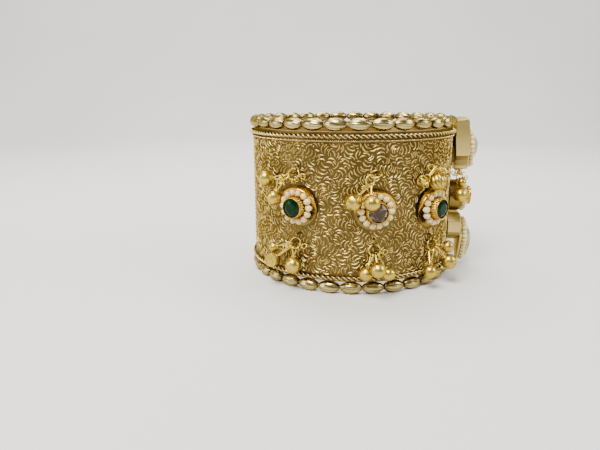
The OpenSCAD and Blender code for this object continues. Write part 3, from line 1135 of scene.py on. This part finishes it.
def cutRound(radius, crown, pavilion):
    # a round stone cut like a real one: planes take facets off a disc
    letGo()
    bpy.ops.mesh.primitive_cylinder_add(vertices=48, radius=radius * mm, depth=(crown + pavilion) * mm,
                                        location=(0, 0, (crown - pavilion) / 2 * mm))
    stone = settle(bpy.context.object)
    table = flower["table"] * radius
    edge = flower["edge"]
    bezel = math.atan2(crown - edge, radius - table)
    under = math.atan2(pavilion, radius)
    cuts = []
    for k in range(8):
        cuts.append((45 * k, bezel, (radius, edge), 1))
        cuts.append((45 * k + 22.5, bezel * flower["star"], (table * 0.97, crown), 1))
        cuts.append((45 * k, under * flower["main"], (radius, -edge), -1))
    for k in range(16):
        cuts.append((22.5 * k + 11.25, bezel * flower["upper"], (radius, edge), 1))
        cuts.append((22.5 * k + 11.25, under * flower["lower"], (radius, -edge), -1))
    for around, lean, (out, height), side in cuts:
        a = math.radians(around)
        spot = Vector((out * math.cos(a), out * math.sin(a), height)) * mm
        way = (math.sin(lean) * math.cos(a), math.sin(lean) * math.sin(a), side * math.cos(lean))
        edit(stone)
        bpy.ops.mesh.bisect(plane_co=spot, plane_no=way, clear_outer=True, use_fill=True)
        done()
    return mend(stone)


seedPearl = {
    "vary": (0.95, 1.06),          # each of its three sizes
    "shape": (1.02, 1.02, 0.9),
    "dimple": 0.86,                # share of the height left at its two ends
}


def makePearl(seed):
    # a seed pearl is never quite round, and has a dimple at each end of its hole
    letGo()
    bpy.ops.mesh.primitive_uv_sphere_add(segments=14, ring_count=9, radius=mm)
    pearl = bpy.context.object
    squeeze(pearl, lambda v: math.hypot(v.co.x, v.co.y) < 5 * near, 1, seedPearl["dimple"])
    chance = random.Random(seed)
    sizes = [size * chance.uniform(*seedPearl["vary"]) for size in seedPearl["shape"]]
    edit(pearl)
    bpy.ops.transform.resize(value=sizes)
    done()
    return smooth(pearl, 80)


pearlShapes = [makePearl(seed) for seed in range(5)]


def makeFlower(k, parts):
    angle, height, lift = flowers[k]
    place = onCuff(angle, cuff["band"] + lift, height)
    name = "flower_" + str(k + 1)
    chance = random.Random(100 + k)
    metal = [copyAt(parts["cup"], place)]
    if lift:
        drum = gather(name + "_drum", [copyAt(parts["drum"], onCuff(angle, 0, height))])
        finish(drum, darkBrass, "flower_setting")
    else:
        metal.append(copyAt(parts["plate"], place))
    setting = gather(name + "_cup", metal)
    finish(setting, cupGold, "flower_setting", name + "_setting")
    stone = gather(name + "_gem", [copyAt(parts["stone"], place @ move(0, 0, flower["girdle"]))])
    clear = k in flower["clear"]
    finish(stone, clearGlass if clear else greenGlass, "clear_stone" if clear else "green_stone",
           name + "_stone")
    twins = []
    for n in range(flower["pearls"]):
        around = turn((n + 0.5) * 360 / flower["pearls"], "Z")
        spot = around @ move(flower["ringRadius"], 0, flower["ringHeight"])
        spin = turn(90, "X") @ turn(chance.uniform(0, 360), "Z")
        size = chance.uniform(*flower["vary"])
        twins.append(copyAt(chance.choice(pearlShapes), place @ spot @ spin @ Matrix.Scale(size, 4)))
    finish(gather(name + "_seed_pearls", twins), pearlSkin, "pearl", name + "_pearls")


def makeDrum():
    # with a softened top edge
    r = flower["drumRadius"]
    low, high = [cuff["band"] + flower[end] for end in ("drumLow", "drumHigh")]
    edge = [(r - across, high - down) for across, down in flower["drumEdge"]]
    return smooth(lathe([(0, low), (r, low)] + edge + [(0, high)], 72), 45)


flowerParts = {"cup": ribbedCup(), "plate": bentPlate(), "drum": makeDrum(),
               "stone": cutRound(flower["stoneRadius"], flower["crown"], flower["pavilion"])}
for number in range(len(flowers)):
    makeFlower(number, flowerParts)
throwAway(*flowerParts.values())
print("flowers made")


# Boxes at the front

box = {
    "depth": 3.9,         # out to the step round the front face
    "step": 0.4,
    "grooveWide": 0.12,   # groove at the foot of the step
    "grooveDeep": 0.1,
    "shelf": 0.3,         # from the groove in to the step
    "upperOut": 31.85,    # place of the upper box's back plane and middle
    "upperHeight": 15.1,
    "upperHalf": [(2.3, -7.95), (2.75, -7.5), (2.95, -6.4), (3.65, -4.85), (4.75, -3.75), (5.55, -3.45),
                  (6, -3.05), (6, 7.4), (5.5, 7.95)],
    "upperSoft": 0.14,    # width of its softened edges
    "upperHollow": (-7.2, -3.65),           # heights of the hollow in its sides
    "postSize": (6, 5, 5),                  # what carries the upper box
    "postPlace": (31, 0, 12),
    "lowerOut": 31.2,
    "lowerHeight": -11,
    "lowerDepth": 4.05,
    "lowerHalf": [(2.9, -4.2), (4.8, -2.4), (4.8, -1.75), (5, -1.5), (5, 2.1), (2.9, 4.2)],
    "lowerSoft": 0.16,
    "lowerHollow": (-2.6, -1.6),
    "roomRadius": 31.25,  # what the boxes keep clear of: the band, its edge wires, the upright wire
    "roomStep": 17.8,
    "roomPast": 0.65,     # past the middle of the edge wires
    "roomWire": 0.65,
    "roomHalf": 25,
    "wide": 0.6,          # sides of the smallest face that is not brightened as wear and painted highlight
    "upperDrop": (3, 0.2, 0.4, -5.2),       # big radius, its height, small radius, its height
    "upperSeat": 0.35,    # how far the stone's foot is above the face
    "upperDome": 2.9,     # height of the stone
    "lowerDrop": (3, -13.5, 0.35, -20.5),
    "lowerDome": 2.3,
    "lowerSeat": 0.42,
    "lowerLift": 0.55,    # of the plane it leans in, above the plate
    "dome": [(0, 0.9), (0.12, 1), (0.45, 0.9), (0.78, 0.66), (1, 0.36)],     # shares of height, outline
    "plateOut": 35.15,    # pear-shaped plate on the lower box
    "plateThick": 0.75,
    "plateGrow": 1.7,
    "plateSoft": 0.15,
    "lowerLean": 9,       # degrees that the lower stone leans
    "collarGrow": 0.42,
    "collarHigh": 1.5,
    "collarWall": 0.3,
    "collarSoft": 0.07,
    "collarDeep": 0.7,    # from its top down to the floor under the lower stone
    "pearlGrow": 1.3,     # from a stone's outline to the middle of its string of pearls
    "pearlLift": 0.87,
    "pearlSize": 0.8,     # share of a flower's pearl
    "pearlVary": (0.92, 1.04),
    "pearlPitch": 1.3,
    "thread": 0.13,
    "eyelet": (34.3, -1.4, 6.75),
    "eyeletRadius": 1.15,
    "eyeletWire": 0.25,
}

upperFrame = move(box["upperOut"], 0, box["upperHeight"]) @ turn(-cuff["boxLean"], "Y")
lowerFace = box["plateOut"] + box["plateThick"]
lowerFrame = move(lowerFace + box["lowerLift"], 0, box["lowerDrop"][1]) @ turn(-box["lowerLean"], "Y")


def onFace(spots, out=0):
    # lays an outline of (across, up) in a plane that faces outwards
    return [(out, y, z) for y, z in spots]


def bothSides(half):
    # the other half of an outline is its mirror image
    return [(-y, z) for y, z in half] + half[::-1]


def slab(spots, low, high):
    # a flat piece with that outline, from one distance out to another
    piece = drawLine(onFace(spots, low), True)
    edit(piece, "FACE")
    pull(high - low, 0, 0)
    done()
    return mend(piece)


def wearBox(piece, frameOf, depth, low, high):
    # painted shade in the hollow of its sides between two heights; brighter along its softened edges, whose
    # inner vertices belong to no wide face, as wear and as a painted highlight
    back = frameOf.inverted()

    def inHollow(vertex):
        spot = back @ vertex.co / mm
        return spot.x < depth - 0.02 and low < spot.z < high

    mark(piece, "crease", inHollow)
    wide = set()
    for face in piece.data.polygons:
        if face.area > (box["wide"] * mm) ** 2:
            wide.update(face.vertices)
    mark(piece, "rubbedAndHighlit", lambda vertex: vertex.index not in wide)


def cutRoom(*pieces):
    # cuts away what the back of a box keeps clear of
    out, step, half = box["roomRadius"], box["roomStep"], box["roomHalf"]
    edge = cuff["rope"] + box["roomPast"]
    top = half + 0.8
    room = lathe([(0, -half), (out, -half), (out, step), (edge, step), (edge, top), (0, top)], 120)
    letGo()
    bpy.ops.mesh.primitive_cylinder_add(vertices=24, radius=box["roomWire"] * mm, depth=2 * half * mm,
                                        location=(ropes["seamRing"] * mm, 0, 0))
    channel = settle(bpy.context.object)
    for piece in pieces:
        for tool in (room, channel):
            cut = piece.modifiers.new("cut", "BOOLEAN")
            cut.operation = "DIFFERENCE"
            cut.solver = "EXACT"
            cut.object = tool
            settle(piece)
    throwAway(room, channel)


def pearCollar(outline, low, high):
    # an upright wall round a stone, with a rounded top
    wall = drawLine(onFace(outline, low), True)
    edit(wall, "FACE")
    bpy.ops.mesh.delete(type="ONLY_FACE")
    bpy.ops.mesh.select_all(action="SELECT")
    pull(high - low, 0, 0)
    done()
    mend(wall)
    thick = wall.modifiers.new("thick", "SOLIDIFY")
    thick.thickness = box["collarWall"] * mm
    thick.offset = -1
    settle(wall)
    return softenEdges(mend(wall), box["collarSoft"])


def domedStone(drop, height):
    # a drop-shaped stone with a table
    levels = box["dome"]
    middle = drop[1] - drop[0] * 0.35
    small = levels[0][1]
    spots = [(y * small, middle + (z - middle) * small) for y, z in pear(*drop, steps=20)]
    stone = drawLine(onFace(spots), True)
    edit(stone, "FACE")
    for (low, small), (high, large) in zip(levels, levels[1:]):
        pull((high - low) * height, 0, 0)
        grow = large / small
        bpy.ops.transform.resize(value=(1, grow, grow), center_override=(0, 0, middle * mm))
    bpy.ops.mesh.select_all(action="SELECT")
    bpy.ops.mesh.quads_convert_to_tris(quad_method="FIXED")
    done()
    return softenEdges(mend(stone), 0.03, 1)


def setStone(name, drop, height, place, glass):
    # a drop-shaped stone, its foot in the plane of that place
    stone = domedStone(drop, height)
    stone.matrix_world = place
    finish(gather(name + "_dome", [stone]), glass, "pale_stone", name + "_stone")


def stringPearls(name, drop, frameOf, face, seed):
    # small pearls along the outline of a stone, and the thread through them
    chance = random.Random(seed)
    outline = pear(*drop, grow=box["pearlGrow"], steps=60)
    lift = face + box["pearlLift"]
    twins = []
    for spot, way in walk(outline, box["pearlPitch"]):
        along = Vector((0, way.x, way.y)).to_track_quat("Z", "X").to_matrix().to_4x4()
        size = box["pearlSize"] * chance.uniform(*box["pearlVary"])
        place = move(lift, spot.x, spot.y) @ along @ turn(chance.uniform(0, 360), "Z")
        twins.append(copyAt(chance.choice(pearlShapes), frameOf @ place @ Matrix.Scale(size, 4)))
    finish(gather(name + "_seed_pearls", twins), pearlSkin, "pearl", name + "_pearls")
    thread = wireAlong(onFace(outline, lift), box["thread"])
    thread.matrix_world = frameOf
    finish(gather(name + "_thread", [thread]), wireBrass, "core_wire")


def makeUpperBox():
    depth, groove = box["depth"], box["grooveDeep"]
    body = slab(bothSides(box["upperHalf"]), 0, depth)
    pick(body, "FACE", lambda face: face.normal.x > 0.9)
    inset(box["grooveWide"])
    pull(-groove, 0, 0)
    inset(box["shelf"])
    pull(box["step"] + groove, 0, 0)
    done()
    softenEdges(body, box["upperSoft"], 3)
    body.matrix_world = upperFrame
    settle(body)
    letGo()
    bpy.ops.mesh.primitive_cube_add(size=mm)
    post = bpy.context.object
    post.scale = box["postSize"]
    post.location = Vector(box["postPlace"]) * mm
    settle(post)
    cutRoom(body, post)
    wearBox(body, upperFrame, depth, *box["upperHollow"])
    drop = box["upperDrop"]
    front = depth + box["step"]
    collar = pearCollar(pear(*drop, grow=box["collarGrow"]), front - 0.2, front + box["collarHigh"])
    collar.matrix_world = upperFrame
    eyelet = torus(box["eyeletRadius"], box["eyeletWire"], 28, 8, location=Vector(box["eyelet"]) * mm,
                   rotation=(0, math.pi / 2, 0))
    piece = gather("upper_box_body", [smooth(body, 10), smooth(collar), smooth(eyelet)])
    finish(piece, boxGold, "box", "upper_box")
    finish(gather("upper_box_post", [smooth(post, 10)]), darkBrass, "box")
    setStone("upper_box", drop, box["upperDome"], upperFrame @ move(front + box["upperSeat"], 0, 0),
             paleGlass)
    stringPearls("upper_box", drop, upperFrame, front, 7)


def makeLowerBox():
    depth = box["lowerDepth"]
    seat = move(box["lowerOut"], 0, box["lowerHeight"])
    body = slab(bothSides(box["lowerHalf"]), 0, depth)
    softenEdges(body, box["lowerSoft"], 3)
    body.matrix_world = seat
    settle(body)
    cutRoom(body)
    wearBox(body, seat, depth, *box["lowerHollow"])
    drop = box["lowerDrop"]
    plate = slab(pear(*drop, grow=box["plateGrow"], steps=60), box["plateOut"], lowerFace)
    softenEdges(plate, box["plateSoft"])
    # the collar is cut along the leaning stone's foot, then hollowed
    collar = slab(pear(*drop, grow=box["collarGrow"]), lowerFace - 0.1, lowerFace + 4)
    edit(collar)
    top = lowerFrame @ Vector((1 * mm, 0, 0))
    outwards = lowerFrame.to_3x3() @ Vector((1, 0, 0))
    bpy.ops.mesh.bisect(plane_co=top, plane_no=outwards, clear_outer=True, use_fill=True)
    done()
    pick(collar, "FACE", lambda part: part.normal.dot(outwards) > 0.99)
    inset(box["collarWall"])
    pull(*(-box["collarDeep"] * outwards))
    done()
    softenEdges(mend(collar), box["collarSoft"])
    piece = gather("lower_box_body", [smooth(body, 10), smooth(plate, 25), smooth(collar, 25)])
    finish(piece, boxGold, "box", "lower_box")
    leaning = (drop[0], 0, drop[2], drop[3] - drop[1])
    setStone("lower_box", leaning, box["lowerDome"], lowerFrame @ move(box["lowerSeat"], 0, 0),
             limeGlass)
    stringPearls("lower_box", drop, Matrix(), lowerFace, 8)


makeUpperBox()
makeLowerBox()
print("boxes made")


# Bell charms on jump rings

bells = {
    "ring": 1.6,          # radius of a jump ring, to the middle of its wire
    "ringCut": 3,         # degrees each side of the cut where it was closed
    "eye": 0.85,          # radii of the two ends of a bell's wire loop
    "foot": 0.24,
    "wire": 0.2,
    "neck": 0.94,         # share of a ball's radius
    "cap": [(0, -0.1), (0.62, -0.1), (0.7, 0.04), (0.5, 0.2), (0.42, 0.42), (0.3, 0.5), (0, 0.5)],
    "grains": (0.66, 9, 0.21),              # round a bell's neck: ring, count, radius of one
    "drumGrains": (1.88, 18, 0.2),
    "drumTurn": 75,
    "seam": 0.16,         # half the width of the band round a ball's middle
    "facets": [(0, -1), (0.35, -0.92), (0.83, -0.5), (0.97, -0.14), (0.97, 0.14), (0.83, 0.5),
               (0.35, 0.92), (0, 1)],
    "drum": [(0, 1.24), (1.42, 1.24), (1.5, 1.4), (1.8, 1.4), (1.9, 1.3), (1.9, 0)],
    "folds": 10,          # round the ribbed ball
    "foldDeep": 0.91,
    "knot": [(0, -1.1), (0.75, -0.8), (1.1, 0), (0.75, 0.8), (0, 1.1)],      # in a clump of loops
    "loops": 7,           # rings in a clump of loops
    "looplet": 0.72,      # radius of the small loose loops on the jump rings
    "loopletWire": 0.15,
    "loopletTries": 9,    # places round a jump ring
    "loopletLean": 35,    # most degrees
    "loopletOut": 0.3,    # from the jump ring's wire to its middle
    "loopletNext": 1.05,  # from there to the middle of the second loop
    "loopletRoom": 1.15,  # what the middle of a small loop keeps clear of other rings and eyes
    "bandRoom": 0.95,
    "plainRings": (1,),   # groups whose jump rings carry no small loops
    "farSide": 2,         # bells in a group on the far side
    "ringRows": [
        # group, out from the band, round, height, tilt, swing
        (0, 1.4, -0.9, 9.2, 111, -174),
        (0, 1.7, -3.3, 8.3, 30, -38),
        (1, 1.9, -0.5, 10, 151, 143),
        (1, 2.9, -2.2, 8.4, 92, -148),
        (2, 2, -0.8, 10.4, 162, -130),
        (3, 1, -0.7, -10.5, 109, -177),
        (4, 0.8, 0.1, -11.3, 105, 179),
        (5, 1.2, 0.3, -11.9, 105, 165),
        (6, 3.3, -2.4, 4.9, 115, 132),
    ],
    "bellRows": [
        # group, out, round, height, tilt, swing, spin of the eye, from ball to eye, ball radius, shape
        (0, 1.6, -10.3, 7.4, 85, 91, -51, 5.2, 2.3, "ball"),
        (0, 2.3, -7, 2.3, 26, 90, -62, 5.5, 2.25, "ball"),
        (1, 2.8, -6.6, 2.8, 39, 79, -165, 5.4, 2.5, "faceted"),
        (1, 6.9, -2.6, 3.2, 46, 178, 115, 5, 2.25, "ball"),
        (2, 3.1, -1.8, 7, 30, -177, -45, 4.2, 2.4, "ribbed"),
        (2, 2.1, -6.7, 7.4, 54, 83, 120, 5.2, 2.1, "loops"),
        (3, 3.3, -7.2, -16, 51, 109, 157, 6.9, 1.85, "drum"),
        (3, 2.8, -0.4, -16.5, 15, -166, 69, 4.5, 2.5, "ball"),
        (3, 1.4, -8.1, -12.8, 70, 92, 156, 6, 1.5, "ball"),
        (4, 2.3, -2.5, -17.5, 24, 122, 151, 5.1, 2.15, "ball"),
        (4, 5.5, 0, -15.5, 58, 176, 80, 4.8, 2.25, "ball"),
        (4, 2.3, 3.9, -17.8, 30, -111, 17, 5.8, 2, "ball"),
        (5, 3.2, -2.9, -18.9, 30, 123, 139, 6.1, 2.1, "ball"),
        (5, 4.2, 5, -17.3, 45, -124, 31, 5.9, 2.35, "ball"),
        (5, 3.6, 4.8, -12.9, 77, -123, 9, 3.4, 1.9, "ball"),
        (6, 2.6, -8.3, 0.2, 55, 86, 156, 5.8, 2.3, "ball"),
        (6, 3, -6.8, 3.9, 82, 101, 147, 3, 1.5, "ball"),
    ],
    "groupAngles": [row[0] for row in flowers[:3]] * 2 + [0],     # above and below three flowers, front
}


def makeJumpRing():
    # a ring of round wire with the thin cut where it was closed
    steps, cut = 30, bells["ringCut"]
    angles = [math.radians(cut + k * (360 - 2 * cut) / steps) for k in range(steps + 1)]
    spots = [(bells["ring"] * math.cos(a), bells["ring"] * math.sin(a), 0) for a in angles]
    ring = smooth(wireAlong(spots, bells["wire"], 2, False), 60)
    mark(ring, "rubbedAndHighlit", lambda vertex: True)
    return ring


def makeLooplet():
    loop = smooth(torus(bells["looplet"], bells["loopletWire"], 16, 5), 80)
    mark(loop, "rubbedAndHighlit", lambda vertex: True)
    return loop


def grainRing(height, radius, count, size):
    # soldered grains in a ring round Z
    letGo()
    bpy.ops.mesh.primitive_uv_sphere_add(segments=8, ring_count=6, radius=size * mm)
    grain = bpy.context.object
    twins = [copyAt(grain, turn(k * 360 / count, "Z") @ move(radius, 0, height)) for k in range(count)]
    throwAway(grain)
    return twins


def arcRows(radius, last, step):
    # profile of a ball from its foot up, to an angle in degrees
    angles = [math.radians(a) for a in range(0, last + 1, step)]
    return [(radius * math.sin(a), -radius * math.cos(a)) for a in angles]


def ballBody(radius):
    # two hollow halves joined at a narrow band
    seam = bells["seam"]
    inner = radius - 0.1
    band = [(inner * 0.998, -seam), (radius - 0.02, 0.03 - seam), (radius, 0.1 - seam)]
    rows = arcRows(inner, 80, 10) + band
    return [lathe(rows + [(r, -z) for r, z in reversed(rows)], 28)]


def facetedBody(radius):
    return [softenEdges(lathe([(r * radius, z * radius) for r, z in bells["facets"]], 8), 0.05)]


def drumBody(radius):
    # flat ends with a rolled rim, and grains round its middle; its sizes are its own
    side = bells["drum"]
    drum = lathe([(r, -z) for r, z in side] + side[-2::-1], 36)
    mark(drum, "rubbedAndHighlit", lambda vertex: abs(vertex.co.z) > 1.1 * mm)
    parts = [drum] + grainRing(0, *bells["drumGrains"])
    for part in parts:
        part.matrix_world = turn(bells["drumTurn"], "Z") @ turn(90, "Y") @ part.matrix_world
    return parts


def loopsBody(radius):
    rings = []
    for k in range(bells["loops"]):
        place = turn(k * 137.5, "Z") @ turn(35 + 27 * k, "X") @ move(0.55, 0, 0.1 * k)
        rings.append(copyAt(jumpRing, place @ Matrix.Scale(radius / 3, 4)))
    return rings + [lathe(bells["knot"], 16)]


def ribbedBody(radius):
    ball = lathe(arcRows(radius, 180, 12), bells["folds"] * 5)

    def inFold(vertex):
        return offRib(vertex, bells["folds"]) < 0.02 and abs(vertex.co.z) < 0.95 * radius * mm

    mark(ball, "crease", inFold)
    squeeze(ball, inFold, bells["foldDeep"])
    return [ball]


bellBodies = {"ball": ballBody, "faceted": facetedBody, "drum": drumBody, "loops": loopsBody,
              "ribbed": ribbedBody}


def makeBell(spin, toEye, radius, shape):
    # the body at the origin, its grained neck and its long wire loop up Z
    neck = radius * bells["neck"]
    body = bellBodies[shape](radius)
    cap = lathe([(r, neck + z) for r, z in bells["cap"]], 18)
    grains = grainRing(neck + 0.08, *bells["grains"])
    loop = [(0, u, v) for u, v in pear(bells["eye"], toEye, bells["foot"], neck + 0.5, steps=28)]
    wire = wireAlong(loop, bells["wire"])
    mark(wire, "rubbedAndHighlit", lambda vertex: True)
    wire.matrix_world = turn(spin, "Z")
    return smooth(gather("bell", body + [cap, wire] + grains), 20 if shape == "faceted" else 45)


def bellPlace(group, out, around, height, tilt, swing):
    return (turn(bells["groupAngles"][group], "Z") @ move(cuff["band"] + out, around, height)
            @ turn(swing, "Z") @ turn(tilt, "Y"))


def offWire(spot, place):
    # how far a spot is from the wire of the jump ring at that place
    inside = place.inverted() @ spot
    return math.hypot(math.hypot(inside.x, inside.y) - bells["ring"] * mm, inside.z)


def ofGroup(rows, group):
    return [row for row in rows if row[0] == group]


def threadLooplets(group):
    # small loose loops on a group's jump rings, wherever its bells leave room, every other one with a
    # second loop through it
    chance = random.Random(60 + group)
    eyes = [bellPlace(*row[:6]) @ Vector((0, 0, row[7] * mm)) for row in ofGroup(bells["bellRows"], group)]
    rings = [bellPlace(*row) for row in ofGroup(bells["ringRows"], group)]
    twins = []

    def free(spot, ring):
        spaces = [(spot - eye).length for eye in eyes]
        spaces += [offWire(spot, other) for other in rings if other != ring]
        out = math.hypot(spot.x, spot.y) - cuff["band"] * mm
        return min(spaces) > bells["loopletRoom"] * mm and out > bells["bandRoom"] * mm

    for ring in rings:
        for k in range(bells["loopletTries"]):
            lean = turn(chance.uniform(-bells["loopletLean"], bells["loopletLean"]), "X")
            onward = turn(360 / bells["loopletTries"] * k, "Z")
            place = ring @ onward @ move(bells["ring"] + bells["loopletOut"], 0, 0) @ lean
            second = place @ move(bells["loopletNext"], 0, 0)
            if free(place.translation, ring):
                twins.append(copyAt(looplet, place @ turn(90, "X")))
                if k % 2 and free(second.translation, ring):
                    twins.append(copyAt(looplet, second))
    return twins


def makeBellGroup(name, group, most=None, farSide=False):
    side = Matrix.Scale(-1, 4, (0, 1, 0)) if farSide else Matrix()
    twins = [copyAt(jumpRing, side @ bellPlace(*row)) for row in ofGroup(bells["ringRows"], group)]
    for loop in [] if group in bells["plainRings"] else threadLooplets(group):
        loop.matrix_world = side @ loop.matrix_world
        twins.append(loop)
    for row in ofGroup(bells["bellRows"], group)[:most]:
        bell = makeBell(*row[6:])
        bell.matrix_world = side @ bellPlace(*row[:6])
        twins.append(bell)
    piece = gather(name + "_bells", twins)
    mend(piece)
    finish(piece, bellGold, "charm", name)


jumpRing = makeJumpRing()
looplet = makeLooplet()
for number in (0, 1, 2):
    for place, most, farSide in ((number + 1, None, False), (7 - number, bells["farSide"], True)):
        makeBellGroup("charms_" + str(place) + "_upper", number, most, farSide)
        makeBellGroup("charms_" + str(place) + "_lower", number + 3, most, farSide)
makeBellGroup("charms_front", 6)
throwAway(jumpRing, looplet)
print("bell charms made")


# Finish of the nodes that stay as they are

nodeLooks = {
    "band": bandBrass,
    "top_bead_wire": wireBrass,
    "bottom_bead_wire": wireBrass,
    "pearl_threads": wireBrass,
}
for node, look in nodeLooks.items():
    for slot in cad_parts[node].material_slots:
        slot.material = look

throwAway(*pearlShapes)
letGo()
